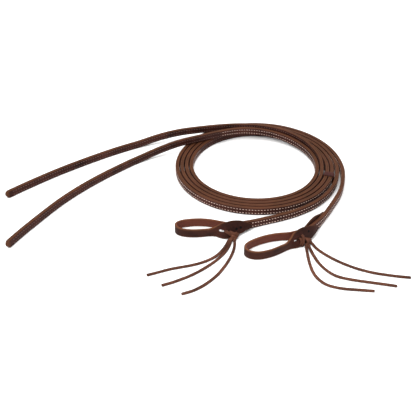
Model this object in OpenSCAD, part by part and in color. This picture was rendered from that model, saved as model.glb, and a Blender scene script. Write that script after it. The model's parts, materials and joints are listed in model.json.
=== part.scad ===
// A pair of split reins, coiled and lying on a flat surface.
// Every strap stands on its edge. Each rein is two plies of leather sewn with two rows of thread.
// One end is a free tail. The other is laced to a bit loop, and the lace has three tails.

/* [Rein strap] */
// Width of the strap, which is its height as it stands on edge
strap_w = 12.7; // [11:0.1:14]
// Thickness of one ply of leather
ply_t = 3.3; // [2.6:0.1:3.4]
// Width of a row of stitching
thread_w = 1; // [0.6:0.1:1.4]
// How far the stitching stands out of the leather
thread_proud = 0.25; // [0.1:0.05:0.3]
// Distance from the strap's edge to the middle of a row of stitching
thread_inset = 3.3; // [2:0.1:4]

/* [Coil] */
// Radius of the innermost strand's centreline
coil_r = 109; // [107:0.5:112]
// Distance between the centrelines of neighbouring strands
coil_pitch = 8; // [8:0.1:8.4]

/* [Bit loop] */
// Width of the bit loop's strap
loop_w = 14; // [13:0.1:14]
// Thickness of the bit loop's strap
loop_t = 3.2; // [2.4:0.1:3.2]
// Widest part of the leaf that is laced over the rein's end
leaf_w = 25; // [22:0.5:26]
// Diameter of the holes that the lace goes through
lace_hole_d = 4.4; // [4:0.1:5]

/* [Lace] */
// Width of the lace
lace_w = 4.5; // [3.5:0.1:4.8]
// Thickness of the lace
lace_t = 3; // [2:0.1:3.2]

/* [Coil tie] */
// Thickness of the tie's leather
tie_t = 1.2; // [0.8:0.1:1.2]
// Length of coil that the tie covers, in degrees about the coil's centre
tie_span = 5.5; // [4:0.5:7]

/* [Hidden] */
$fn = 48;

LEATHER_OUT = "#4a2a22";
LEATHER_EDGE = "#6e4632";
THREAD = "#d9b8a4";
LACE = "#7a4527";

// The coil's centre, measured from the middle of the whole part's footprint
coil_centre = [104, 84, 0];

strap_t = 2 * ply_t;
glue_gap = 0.05;      // half of the glue line between the plies
clearance = 0.3;      // between parts that move past each other
hinge_r = ply_t + 0.1; // the round end of a strap at the place where it bends
block = 40;           // size of the blocks that cut straps to length

// Angles are travelled clockwise from the back of the coil, so 90 is its right side.
step = 5;
move_from = 280;      // the strands move outwards by two places on the way from
move_over = 105;      // the left side to the right one, to make room for the tails
tie_at = 467;         // the tie holds the third and fourth strands, on the second lap
tie_flat = 8;         // the strands run true for this many degrees each side of the tie
tie_fade = 24;        // and come back to their places over this many more
tie_lift = tie_t + clearance;
over = strap_w + 0.6; // the height at which a strap passes over another

// Route points are [x, y, height of the lower edge, lean in degrees], from the coil's centre.
left_tail = [
    [-376, -221, 0, 0], [-363, -193, 0, 0], [-341, -151, 0, 0], [-318, -110, 0, 0],
    [-291, -71, 0, 0], [-263, -37, 0, 0], [-232, -4, 0, 0], [-200, 26, 0.4, 0],
    [-166, 46, 6.5, 0], [-130, 60, over, 0], [-95, 77, over, 0], [-59, 93.5, over, 0]
];
right_tail = [
    [-409, -89, 0, 0], [-393, -72, 0, 0], [-364, -43, 0, 0], [-335, -16, 0, 0],
    [-304, 10, 0, 0], [-272, 35, 0, 0], [-239, 58.5, 0, 0], [-205, 79, 0.6, 0],
    [-168, 94, 6.5, 0], [-132, 101.5, 12, 0], [-96, 109, over, 0], [-59, 117, over, 0],
    [-24, 121, over, 0], [11, 118.5, over, 0]
];
left_lead = [
    [131, -57, 0, 0], [121, -78, 0, 0], [107, -98, 0, 0], [90, -116, 0, 0],
    [70, -131, 0, 0], [47, -144, 0, 0], [23, -154, 0, 0], [0, -162.5, 0, 0],
    [-17, -169.5, 0.8, -8], [-27, -174.5, 2.4, -22], [-35, -178.5, 3.2, -30],
    [-44, -183, 3.2, -30], [-53, -187.5, 3.2, -30]
];
right_lead = [
    [150, -20, 0, 0], [147, -41, 0, 0], [142, -63, 0, 0], [135, -84, 0, 0],
    [127, -101, 0, 0], [118, -118, 0, 0], [109, -134, 0, 0], [100, -148, 0, 0],
    [90, -162.5, 0, 0], [81, -175, 0.8, -8], [73, -185.5, 2.4, -22],
    [66.5, -193, 3.2, -30], [59, -200.5, 3.2, -30], [52, -207.5, 3.2, -30]
];
// Angles at which each rein joins and leaves the round part of the coil
left_from = -15;
left_to = 825;
right_from = 20;
right_to = 800;
// Angles over which each tail comes down to the surface
left_down = [-35, 95];
right_down = [12, 112];

// Bit loop points are [x, y, height of the middle, lean, width], from behind the rein's end,
// round the eye, to the front of the rein's end.
left_loop_route = [
    [-50, -176.2, 7.1, -22, loop_w], [-58, -172.6, 7, -10, loop_w],
    [-67, -169, 7, 0, loop_w], [-77, -166, 7, 0, loop_w], [-88, -164.4, 7, 0, loop_w],
    [-100, -164.3, 7, 0, loop_w], [-111, -165.7, 7, 0, loop_w], [-121, -168.5, 7, 0, loop_w],
    [-127.5, -173, 7, 0, loop_w], [-129.4, -179, 7, 0, loop_w], [-126.5, -185.4, 7, 0, loop_w],
    [-119.5, -189.8, 7, 0, loop_w], [-110, -192, 7, 0, loop_w], [-99, -192.4, 7, 0, loop_w],
    [-88, -191.4, 7, 0, loop_w], [-77, -189.8, 7, 0, loop_w], [-68, -189.4, 8.6, 10, 17],
    [-60, -191, 11.2, 24, 23.6]
];
right_loop_route = [
    [52.6, -196.2, 7.1, -22, loop_w], [44.5, -198.8, 7, -10, loop_w],
    [36, -199.8, 7, 0, loop_w], [27, -200.6, 7, 0, loop_w], [17, -202.8, 7, 0, loop_w],
    [7, -206, 7, 0, loop_w], [-3, -210.4, 7, 0, loop_w], [-12, -215.6, 7, 0, loop_w],
    [-19.5, -221.4, 7, 0, loop_w], [-25.2, -228, 7, 0, loop_w], [-26.4, -235, 7, 0, loop_w],
    [-22, -241.5, 7, 0, loop_w], [-14, -245, 7, 0, loop_w], [-4, -245, 7, 0, loop_w],
    [7, -241.6, 7, 0, loop_w], [17, -236.8, 7, 0, loop_w], [26, -231, 7, 0, loop_w],
    [35, -224.8, 7, 0, loop_w], [41.5, -219.8, 8.6, 10, 17], [48, -215.6, 11.2, 24, 23.6]
];
// The eye bends about this point, and its straps are cut on a circle round it.
left_neck = [-63, -180];
right_neck = [41, -209];
right_away = 30;      // how far the right loop is turned from the left one's direction
right_slit_turn = 40; // and its slit, which lies nearer the leaf's tip
neck_r = 17;

// Leaf widths from the rein's end to the leaf's tip, as shares of leaf_w
front_leaf = [1, 1, 0.98, 0.93, 0.84, 0.72, 0.57, 0.37, 0.08];
// Widths of the layer behind the rein, up to its own rounded tip. The right one is longer.
left_back_leaf = [loop_w, loop_w, loop_w, 11, 5];
right_back_leaf = [loop_w, loop_w, loop_w, 13, 11, 6];
back_from = 3;
slit = [10, 4];       // the slit beyond the rein's end
left_slit = [-58, -191.6, 11.6];
right_slit = [50.2, -213.9, 11.8];

// Lace tail points are [x, y], from the knot to the cut end. They lie on the surface.
left_laces = [
    [[-50.5, -203.4], [-54, -213], [-60, -226], [-69.5, -240], [-83, -251], [-100, -259],
        [-117, -264], [-134, -269], [-150, -275.5], [-166, -282]],
    [[-44.8, -202.6], [-47.6, -213], [-54, -230], [-65, -246.5], [-78, -260], [-92, -273],
        [-105, -283], [-118, -291], [-131, -298], [-144, -303.5]],
    [[-39.2, -200], [-40, -212], [-43, -228], [-48.5, -245], [-56, -262], [-66, -280],
        [-77, -294], [-89, -306], [-102, -315], [-116, -321]]
];
right_laces = [
    [[73.4, -208.2], [80, -222], [90, -235], [103, -248], [118, -259.5], [134, -269],
        [152, -276.5], [169, -281], [186, -284.5], [203, -287]],
    [[68.6, -212.4], [70.5, -224], [74, -240], [79.5, -257], [88, -272], [100, -284],
        [118, -291], [139, -296], [160, -300.5], [180, -305]],
    [[63.8, -216.8], [64.4, -230], [65, -246], [66, -262], [68.5, -278], [74, -291],
        [84, -302.5], [102, -309.5], [124, -312.5], [147, -315]]
];

// ---- Routes ----

function smooth(t) = let (c = min(max(t, 0), 1)) c * c * (3 - 2 * c);
function gap(p, q) = norm([for (i = [0:1]) q[i] - p[i]]);
function slice(list, from, to) = [for (i = [from:to]) list[i]];
function reversed(list) = [for (i = [len(list) - 1:-1:0]) list[i]];
function around(r, q, z) = [r * sin(q), r * cos(q), z, 0];

// Slope of a route at its point i, weighted by the distances to its neighbours
function slope(p, i) =
    i == 0 ? (p[1] - p[0]) / gap(p[0], p[1])
    : i == len(p) - 1 ? (p[i] - p[i - 1]) / gap(p[i - 1], p[i])
    : let (a = gap(p[i - 1], p[i]), b = gap(p[i], p[i + 1]))
        ((p[i + 1] - p[i]) * a / b + (p[i] - p[i - 1]) * b / a) / (a + b);

// A point at share t of the way from point i to the next one, on a smooth curve
function between(p, i, t) =
    let (d = gap(p[i], p[i + 1]), s = t * t, c = s * t)
    p[i] * (2 * c - 3 * s + 1) + slope(p, i) * d * (c - 2 * s + t)
    + p[i + 1] * (3 * s - 2 * c) + slope(p, i + 1) * d * (c - s);

// The curve through points from..to, with parts steps between neighbours
function curve(p, from, to, parts) =
    [for (i = [from:to - 1], k = [0:parts - 1]) between(p, i, k / parts)];

function grounded(p) = [p[0], p[1], max(p[2], 0), p[3]];

// ---- The coil ----

function place(q, first) =
    first + 2 * smooth((q - move_from) / move_over) + 2 * smooth((q - move_from - 360) / move_over);
function near_tie(q) =
    let (lap = q - 360 * round((q - tie_at) / 360))
    smooth((tie_flat + tie_fade - abs(lap - tie_at)) / tie_fade);
// The tie needs room on both sides of the pair that it holds.
function nudge(q, first) =
    let (lap = round((q - tie_at) / 360))
    near_tie(q) * (lap < 0 ? -1 : lap > 0 ? 1 : first == 0 ? 0.2 : -0.2);
function lift(q) = round((q - tie_at) / 360) == 0 ? tie_lift * near_tie(q) : 0;
function coil_point(q, first, down) =
    around(coil_r + coil_pitch * place(q, first) + nudge(q, first), q,
        over * (1 - smooth((q - down[0]) / (down[1] - down[0]))) + lift(q));
function laps(first, from, to, down) = [for (q = [from:step:to]) coil_point(q, first, down)];

hand_parts = 2;
function whole_route(tail, coil, lead) =
    let (all = concat(tail, coil, lead), a = len(tail), b = a + len(coil) - 1)
    [for (p = concat(curve(all, 0, a, hand_parts), slice(all, a, b - 1),
        curve(all, b, len(all) - 1, hand_parts), [all[len(all) - 1]])) grounded(p)];

left_route = whole_route(left_tail, laps(0, left_from, left_to, left_down), left_lead);
right_route = whole_route(right_tail, laps(1, right_from, right_to, right_down), right_lead);

// A strap is cut into stretches: where it rises, falls or leans it is a sweep, and where it
// stands level on the surface it is an extruded outline.
function coil_index(tail, from, q) = hand_parts * len(tail) + (q - from) / step;
left_hinge = hand_parts * 6;
right_hinge = hand_parts * 6;
hump = [tie_at - tie_flat - tie_fade, tie_at + tie_flat + tie_fade];
function hump_from(from) = from + step * floor((hump[0] - from) / step);
function hump_to(from) = from + step * ceil((hump[1] - from) / step);
function stretches(tail, from, route, hinge, down) = [
    hinge,
    coil_index(tail, from, from + step * ceil((down[1] - from) / step)),
    coil_index(tail, from, hump_from(from)),
    coil_index(tail, from, hump_to(from)),
    len(route) - 1 - hand_parts * 5,
    len(route) - 1
];
left_cuts = stretches(left_tail, left_from, left_route, left_hinge, left_down);
right_cuts = stretches(right_tail, right_from, right_route, right_hinge, right_down);

// ---- Ribbons ----

// A frame on a route: where it is, across the face, and up the face
function heading(p, i) =
    let (a = p[max(i - 1, 0)], b = p[min(i + 1, len(p) - 1)]) atan2(b[1] - a[1], b[0] - a[0]);
function across(h, lean) = [-sin(h) * cos(lean), cos(h) * cos(lean), -sin(lean)];
function upward(h, lean) = [-sin(h) * sin(lean), cos(h) * sin(lean), cos(lean)];
function frames(route) = [for (i = [0:len(route) - 1])
    let (p = route[i], h = heading(route, i))
    [[p[0], p[1], p[2] + strap_w / 2], across(h, p[3]), upward(h, p[3])]];

left_frames = frames(left_route);
right_frames = frames(right_route);

// The four corners of a strip n0..n1 across and v0..v1 up, on a frame
function corners(f, n0, n1, v0, v1) =
    [for (c = [[n0, v0], [n1, v0], [n1, v1], [n0, v1]]) f[0] + f[1] * c[0] + f[2] * c[1]];

// A closed sweep through rings of four corners
module sweep(rings) {
    last = len(rings) - 1;
    sides = [for (i = [0:last - 1], j = [0:3])
        let (a = 4 * i + j, b = 4 * i + (j + 1) % 4, c = b + 4, d = a + 4)
        each j < 2 ? [[a, c, b], [a, d, c]] : [[a, d, b], [b, d, c]]];
    ends = [[0, 1, 2], [0, 2, 3], [4 * last, 4 * last + 2, 4 * last + 1],
        [4 * last, 4 * last + 3, 4 * last + 2]];
    polyhedron(points = [for (r = rings) each r], faces = concat(sides, ends));
}

module strip(fs, from, to, n0, n1, v0, v1)
    sweep([for (i = [from:to]) corners(fs[i], n0, n1, v0, v1)]);

// The same strip where the strap stands level: an outline, extruded upwards
module level_strip(fs, from, to, n0, n1, v0, v1) {
    function side(n) = [for (i = [from:to])
        [fs[i][0][0] + fs[i][1][0] * n, fs[i][0][1] + fs[i][1][1] * n]];
    translate([0, 0, fs[from][0][2] + v0])
        linear_extrude(height = v1 - v0) polygon(concat(side(n0), reversed(side(n1))));
}

module coil_strip(fs, cuts, n0, n1, v0, v1, first = 0, last = 0) {
    strip(fs, cuts[0] + first, cuts[1], n0, n1, v0, v1);
    level_strip(fs, cuts[1], cuts[2], n0, n1, v0, v1);
    strip(fs, cuts[2], cuts[3], n0, n1, v0, v1);
    level_strip(fs, cuts[3], cuts[4], n0, n1, v0, v1);
    strip(fs, cuts[4], cuts[5] - last, n0, n1, v0, v1);
}

// ---- Where a tail bends ----

// A block from the bend backwards (side = -1) or forwards (side = 0) along the strap
module bend_block(fs, hinge, side) {
    f = fs[hinge];
    turn = atan2(f[1][1], f[1][0]) - 90;
    translate([f[0][0], f[0][1], -1]) rotate([0, 0, turn])
        translate([side * block, -block / 2, 0]) cube([block, block, strap_w + 2]);
}

module bend_round(fs, hinge, r) {
    f = fs[hinge];
    translate([f[0][0], f[0][1], -1]) cylinder(r = r, h = strap_w + 2);
}

function ply_n0(outer) = outer ? glue_gap : -ply_t;
function ply_n1(outer) = outer ? ply_t : -glue_gap;
half_w = strap_w / 2;

// The tail's strip overruns the bend, and everything beyond it but the round end is cut off.
module tail_ply(fs, hinge, outer) {
    difference() {
        strip(fs, 0, hinge + 1, ply_n0(outer), ply_n1(outer), -half_w, half_w);
        difference() {
            bend_block(fs, hinge, 0);
            bend_round(fs, hinge, hinge_r);
        }
        tip_cutter(fs);
    }
}

// Rounds the end of the tail in the plane of its face
module tip_cutter(fs) {
    f = fs[0];
    turn = atan2(f[1][1], f[1][0]) - 90;
    translate([f[0][0], f[0][1], half_w]) rotate([0, 0, turn]) rotate([90, 0, 0])
        translate([0, 0, -strap_t]) linear_extrude(height = 2 * strap_t)
            difference() {
                translate([-half_w, -strap_w]) square([strap_w, 2 * strap_w]);
                translate([half_w, 0]) circle(r = half_w);
                translate([half_w, -half_w]) square([strap_w, strap_w]);
            }
}

module coil_ply(fs, cuts, outer) {
    difference() {
        union() {
            strip(fs, cuts[0] - 1, cuts[0], ply_n0(outer), ply_n1(outer), -half_w, half_w);
            coil_strip(fs, cuts, ply_n0(outer), ply_n1(outer), -half_w, half_w);
        }
        bend_block(fs, cuts[0], -1);
        bend_round(fs, cuts[0], hinge_r + clearance);
        for (at = lace_holes) lace_bore(fs, at, lace_hole_d / 2);
    }
}

// ---- Stitching ----

thread_gap = 0.1;
row_n0 = ply_t + thread_gap;
row_n1 = ply_t + thread_proud;
function row_v(upper) = (upper ? 1 : -1) * (half_w - thread_inset);

module rows(upper) {
    v = row_v(upper);
    for (side = [[row_n0, row_n1], [-row_n1, -row_n0]])
        let ($n0 = side[0], $n1 = side[1], $v0 = v - thread_w / 2, $v1 = v + thread_w / 2) children();
}

// Stitching starts a step after the tip, and stops a step short of a bend on both sides of it.
// The leaves cover the last steps before the rein's end, and have none under them.
covered = 9;

module tail_stitching(fs, hinge, upper)
    rows(upper) strip(fs, 1, hinge - 1, $n0, $n1, $v0, $v1);

module coil_stitching(fs, cuts, upper)
    rows(upper) coil_strip(fs, cuts, $n0, $n1, $v0, $v1, first = 1, last = covered);

// ---- Bit loops ----

leaf_n = ply_t + 0.4 + loop_t / 2;   // from the rein's middle to a leaf's middle
lace_holes = [1, 4];                 // at these steps back from the rein's end

// A point on a leaf beside the rein, as a bit loop point. A wide leaf stands on the surface.
function leaf_point(fs, route, back, side, w) =
    let (i = len(fs) - 1 - back, p = fs[i][0] + fs[i][1] * leaf_n * side, lean = route[i][3],
        stands = w / 2 * cos(lean) + loop_t / 2 * abs(sin(lean)),
        q = p + fs[i][2] * max(0, stands - p[2]) / cos(lean))
    [q[0], q[1], q[2], side < 0 ? lean : -lean, w];

function loop_points(fs, route, hand, behind) = concat(
    reversed([for (k = [0:len(behind) - 1])
        leaf_point(fs, route, back_from + k, -1, behind[k])]),
    hand,
    [for (k = [0:len(front_leaf) - 1]) leaf_point(fs, route, k, 1, leaf_w * front_leaf[k])]
);

function loop_rings(points, behind) =
    let (a = len(behind) - 1, b = len(points) - len(front_leaf),
        fine = concat(slice(points, 0, a - 1), curve(points, a, b, hand_parts),
            slice(points, b, len(points) - 1)))
    [for (i = [0:len(fine) - 1])
        let (p = fine[i], h = heading(fine, i))
        corners([[p[0], p[1], p[2]], across(h, p[3]), upward(h, p[3])],
            -loop_t / 2, loop_t / 2, -p[4] / 2, p[4] / 2)];

module lace_bore(fs, back, r) {
    f = fs[len(fs) - 1 - back];
    h = atan2(f[1][1], f[1][0]);
    translate(f[0]) rotate([0, 0, h]) rotate([0, 90 - asin(f[1][2]), 0])
        translate([0, 0, -12]) cylinder(r = r, h = 24);
}

module slit_cutter(at, h) {
    translate(at) rotate([0, 0, h]) rotate([65, 0, 0])
        translate([0, 0, -8]) linear_extrude(height = 16) {
            square([slit[0] - slit[1], slit[1]], center = true);
            for (s = [-1, 1]) translate([s * (slit[0] - slit[1]) / 2, 0]) circle(d = slit[1]);
        }
}

module loop_strap(fs, route, hand, behind)
    sweep(loop_rings(loop_points(fs, route, hand, behind), behind));

// The eye is what lies outside the neck's circle, on the far side of it from the rein.
module loop_eye(fs, route, hand, behind, neck, away) {
    difference() {
        loop_strap(fs, route, hand, behind);
        translate([neck[0], neck[1], -1]) cylinder(r = neck_r, h = 40);
        translate([neck[0], neck[1], -1]) rotate([0, 0, away])
            translate([0, -60, 0]) cube([120, 120, 40]);
    }
}

module loop_leaves(fs, route, hand, behind, neck, away, slit_at, slit_h) {
    difference() {
        loop_strap(fs, route, hand, behind);
        difference() {
            translate([neck[0], neck[1], -1]) rotate([0, 0, away])
                translate([-120, -60, 0]) cube([120, 120, 40]);
            translate([neck[0], neck[1], -2]) cylinder(r = neck_r - clearance, h = 44);
        }
        for (back = lace_holes) lace_bore(fs, back, lace_hole_d / 2);
        slit_cutter(slit_at, slit_h);
    }
}

// ---- Lace ----

knot_face = leaf_n + loop_t / 2 + 0.2;  // the knot lies this far out on the leaf
knot_t = 2.4;
pin_r = lace_hole_d / 2 - 0.25;

// Places children on the leaf: X along the rein towards its end, Y up the face, Z out of it
module on_leaf(fs) {
    f = fs[len(fs) - 1];
    g = fs[len(fs) - 3];
    u = (f[0] - g[0]) / norm(f[0] - g[0]);
    multmatrix([
        [u[0], f[2][0], f[1][0], f[0][0]],
        [u[1], f[2][1], f[1][1], f[0][1]],
        [u[2], f[2][2], f[1][2], f[0][2]],
        [0, 0, 0, 1]
    ]) children();
}

module lace_knot(fs) {
    at = [for (back = lace_holes) -norm(fs[len(fs) - 1 - back][0] - fs[len(fs) - 1][0])];
    on_leaf(fs) {
        // The lace between the two holes, on the face
        translate([at[1] - lace_w / 2, -lace_w / 2, knot_face])
            cube([at[0] - at[1] + lace_w, lace_w, knot_t]);
        // Through the holes, with a flat end behind
        for (i = [0:1]) {
            behind = i == 0 ? ply_t : leaf_n + loop_t / 2;
            translate([at[i], 0, -behind - 0.2])
                cylinder(r = pin_r, h = behind + knot_face + knot_t / 2);
            translate([at[i], 0, -behind - 0.2 - knot_t / 2])
                cylinder(r = lace_w / 2 + 0.5, h = knot_t / 2);
        }
        // Three drops from the crossing lace to the leaf's lower edge
        for (k = [0:2])
            translate([at[0] - lace_w / 2 - 1 - k * (lace_w + 0.4), -leaf_w / 2 + 2.6, knot_face])
                cube([lace_w, leaf_w / 2 - 2.6, knot_t]);
    }
}

// A tail's first point is where it bends at the knot, so that end is round.
module lace_tail(points) {
    sweep([for (i = [0:len(points) - 1])
        let (p = points[i], h = heading(points, i))
        corners([[p[0], p[1], lace_t / 2], across(h, 0), upward(h, 0)],
            -lace_w / 2, lace_w / 2, -lace_t / 2, lace_t / 2)]);
    translate([points[0][0], points[0][1], 0]) cylinder(d = lace_w - 0.4, h = lace_t);
}

// ---- Coil tie ----

module coil_tie_band() {
    pair_in = coil_r + 2 * coil_pitch + 0.2 - ply_t - thread_proud - clearance;
    pair_out = coil_r + 3 * coil_pitch - 0.2 + ply_t + thread_proud + clearance;
    top = tie_lift + strap_w + clearance;
    rotate([0, 0, 90 - (tie_at - 360) - tie_span / 2])
        rotate_extrude(angle = tie_span)
            difference() {
                translate([pair_in - tie_t, 0]) square([pair_out - pair_in + 2 * tie_t, top + tie_t]);
                translate([pair_in, tie_t]) square([pair_out - pair_in, top - tie_t]);
            }
}

// ---- Nodes ----

module in_place() translate(coil_centre) children();

module left_rein_tail_outer_ply()
    color(LEATHER_OUT) in_place() tail_ply(left_frames, left_hinge, true);
module left_rein_tail_inner_ply()
    color(LEATHER_EDGE) in_place() tail_ply(left_frames, left_hinge, false);
module left_rein_tail_upper_stitching()
    color(THREAD) in_place() tail_stitching(left_frames, left_hinge, true);
module left_rein_tail_lower_stitching()
    color(THREAD) in_place() tail_stitching(left_frames, left_hinge, false);
module left_rein_coil_outer_ply()
    color(LEATHER_OUT) in_place() coil_ply(left_frames, left_cuts, true);
module left_rein_coil_inner_ply()
    color(LEATHER_EDGE) in_place() coil_ply(left_frames, left_cuts, false);
module left_rein_coil_upper_stitching()
    color(THREAD) in_place() coil_stitching(left_frames, left_cuts, true);
module left_rein_coil_lower_stitching()
    color(THREAD) in_place() coil_stitching(left_frames, left_cuts, false);
module left_loop_eye()
    color(LEATHER_OUT) in_place()
        loop_eye(left_frames, left_route, left_loop_route, left_back_leaf, left_neck, 0);
module left_loop_leaves()
    color(LEATHER_OUT) in_place()
        loop_leaves(left_frames, left_route, left_loop_route, left_back_leaf, left_neck, 0,
            left_slit, 0);
module left_lace_knot() color(LACE) in_place() lace_knot(left_frames);
module left_lace_upper_tail() color(LACE) in_place() lace_tail(left_laces[0]);
module left_lace_middle_tail() color(LACE) in_place() lace_tail(left_laces[1]);
module left_lace_lower_tail() color(LACE) in_place() lace_tail(left_laces[2]);

module right_rein_tail_outer_ply()
    color(LEATHER_OUT) in_place() tail_ply(right_frames, right_hinge, true);
module right_rein_tail_inner_ply()
    color(LEATHER_EDGE) in_place() tail_ply(right_frames, right_hinge, false);
module right_rein_tail_upper_stitching()
    color(THREAD) in_place() tail_stitching(right_frames, right_hinge, true);
module right_rein_tail_lower_stitching()
    color(THREAD) in_place() tail_stitching(right_frames, right_hinge, false);
module right_rein_coil_outer_ply()
    color(LEATHER_OUT) in_place() coil_ply(right_frames, right_cuts, true);
module right_rein_coil_inner_ply()
    color(LEATHER_EDGE) in_place() coil_ply(right_frames, right_cuts, false);
module right_rein_coil_upper_stitching()
    color(THREAD) in_place() coil_stitching(right_frames, right_cuts, true);
module right_rein_coil_lower_stitching()
    color(THREAD) in_place() coil_stitching(right_frames, right_cuts, false);
module right_loop_eye()
    color(LEATHER_OUT) in_place()
        loop_eye(right_frames, right_route, right_loop_route, right_back_leaf, right_neck,
            right_away);
module right_loop_leaves()
    color(LEATHER_OUT) in_place()
        loop_leaves(right_frames, right_route, right_loop_route, right_back_leaf, right_neck,
            right_away, right_slit, right_slit_turn);
module right_lace_knot() color(LACE) in_place() lace_knot(right_frames);
module right_lace_upper_tail() color(LACE) in_place() lace_tail(right_laces[0]);
module right_lace_middle_tail() color(LACE) in_place() lace_tail(right_laces[1]);
module right_lace_lower_tail() color(LACE) in_place() lace_tail(right_laces[2]);

module coil_tie() color(LEATHER_EDGE) in_place() coil_tie_band();

left_rein_tail_outer_ply();
left_rein_tail_inner_ply();
left_rein_tail_upper_stitching();
left_rein_tail_lower_stitching();
left_rein_coil_outer_ply();
left_rein_coil_inner_ply();
left_rein_coil_upper_stitching();
left_rein_coil_lower_stitching();
left_loop_eye();
left_loop_leaves();
left_lace_knot();
left_lace_upper_tail();
left_lace_middle_tail();
left_lace_lower_tail();
right_rein_tail_outer_ply();
right_rein_tail_inner_ply();
right_rein_tail_upper_stitching();
right_rein_tail_lower_stitching();
right_rein_coil_outer_ply();
right_rein_coil_inner_ply();
right_rein_coil_upper_stitching();
right_rein_coil_lower_stitching();
right_loop_eye();
right_loop_leaves();
right_lace_knot();
right_lace_upper_tail();
right_lace_middle_tail();
right_lace_lower_tail();
coil_tie();
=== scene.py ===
"""Leather split reins, coiled on a pale floor: the looks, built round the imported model."""
import json
import math

import bpy
from mathutils import Matrix, Vector, noise


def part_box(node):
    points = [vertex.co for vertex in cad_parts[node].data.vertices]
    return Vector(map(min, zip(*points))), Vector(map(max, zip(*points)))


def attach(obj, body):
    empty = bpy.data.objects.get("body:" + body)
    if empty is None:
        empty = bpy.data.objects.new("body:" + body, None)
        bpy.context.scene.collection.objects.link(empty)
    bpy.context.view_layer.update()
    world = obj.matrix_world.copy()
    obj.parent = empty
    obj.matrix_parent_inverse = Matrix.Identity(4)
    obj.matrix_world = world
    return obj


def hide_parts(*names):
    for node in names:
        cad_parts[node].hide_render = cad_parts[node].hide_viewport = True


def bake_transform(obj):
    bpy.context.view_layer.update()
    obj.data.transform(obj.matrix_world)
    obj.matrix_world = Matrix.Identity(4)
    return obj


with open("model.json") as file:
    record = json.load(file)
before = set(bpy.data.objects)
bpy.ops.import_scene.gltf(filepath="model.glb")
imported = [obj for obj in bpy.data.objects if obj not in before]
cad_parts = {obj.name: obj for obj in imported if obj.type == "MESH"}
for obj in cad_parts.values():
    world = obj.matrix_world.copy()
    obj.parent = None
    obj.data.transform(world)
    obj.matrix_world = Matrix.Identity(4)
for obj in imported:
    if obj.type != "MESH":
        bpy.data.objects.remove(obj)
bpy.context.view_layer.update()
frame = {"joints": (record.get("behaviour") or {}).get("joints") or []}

bl_info = {
    "name": "Leather split reins",
    "version": (1, 0, 0),
    "blender": (4, 5, 0),
    "location": "3D View > Sidebar > Reins",
    "description": "Builds a coiled pair of stitched leather reins with laced bit loops",
    "category": "Object",
}

JOINTS = {joint["name"]: joint for joint in frame["joints"]}
COIL_CENTRE = Vector(JOINTS["tie_slide_round"]["pos_m"])
SIDES = ("left", "right")
MM = 0.001


# ---------------------------------------------------------------- settings


def length(name, description, default):
    return bpy.props.FloatProperty(
        name=name, description=description, default=default, unit="LENGTH")


def colour(name, description, default):
    return bpy.props.FloatVectorProperty(
        name=name, description=description, default=default, subtype="COLOR")


class ReinSizes(bpy.types.PropertyGroup):
    """Sizes of the straps, the stitching and the lace."""

    strap_width: length("Strap width", "Width of a rein", 0.0127)
    ply_thickness: length("Ply thickness", "Thickness of each of a rein's two plies", 0.0033)
    loop_thickness: length("Loop thickness", "Thickness of a bit loop's strap", 0.0032)
    leaf_width: length("Leaf width", "Widest part of the leaf laced over the rein's end", 0.025)
    stitch_pitch: length("Stitch pitch", "Distance from stitch to stitch", 0.00475)
    stitch_length: length("Stitch length", "Length of thread that shows between holes", 0.0026)
    stitch_inset: length("Stitch inset", "Distance from an edge to a row of stitches", 0.0033)
    lace_width: length("Lace width", "Width of the lace", 0.0045)
    lace_thickness: length("Lace thickness", "Thickness of the lace", 0.0026)
    tie_thickness: length("Tie thickness", "Thickness of the coil tie", 0.0012)


class ReinColours(bpy.types.PropertyGroup):
    """Colours of the leather, the thread and the floor."""

    # leather_dark and leather_mid are the faces' dark dye made darker still: painted shade on the
    # upright faces, so that they stand against the upturned edges as under light from above
    leather_dark: colour("Dark leather", "Oiled leather in its darkest patches",
                         (0.0125, 0.0033, 0.0024))
    leather_mid: colour("Leather", "The faces of the straps", (0.048, 0.0135, 0.0088))
    leather_edge: colour("Leather edge", "The cut and rubbed edges of the straps",
                         (0.104, 0.041, 0.0165))
    flesh_side: colour("Flesh side", "The inside face of a bit loop", (0.150, 0.043, 0.028))
    lace: colour("Lace", "The lace's leather", (0.100, 0.036, 0.020))
    thread: colour("Thread", "Waxed thread of the stitching", (0.80, 0.56, 0.46))
    tie: colour("Tie", "The coil tie's polished leather", (0.056, 0.0105, 0.0076))
    floor: colour("Floor", "The plain surface under the reins", (0.9, 0.9, 0.9))


def sizes():
    return bpy.context.scene.rein_sizes


def colours():
    return bpy.context.scene.rein_colours


# ---------------------------------------------------------------- routes
# Route points are (x, y, height of the strap's lower edge, lean in degrees), in metres from
# the coil's centre, and only (x, y) where the strap stands upright on the floor.

COIL_RADIUS = 0.109
COIL_PITCH = 0.008
OVER = 0.0133
COIL_STEP = 5
MOVE_FROM, MOVE_OVER = 280, 105
TIE_AT, TIE_FLAT, TIE_FADE, TIE_LIFT = 467, 8, 24, 0.0015

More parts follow.
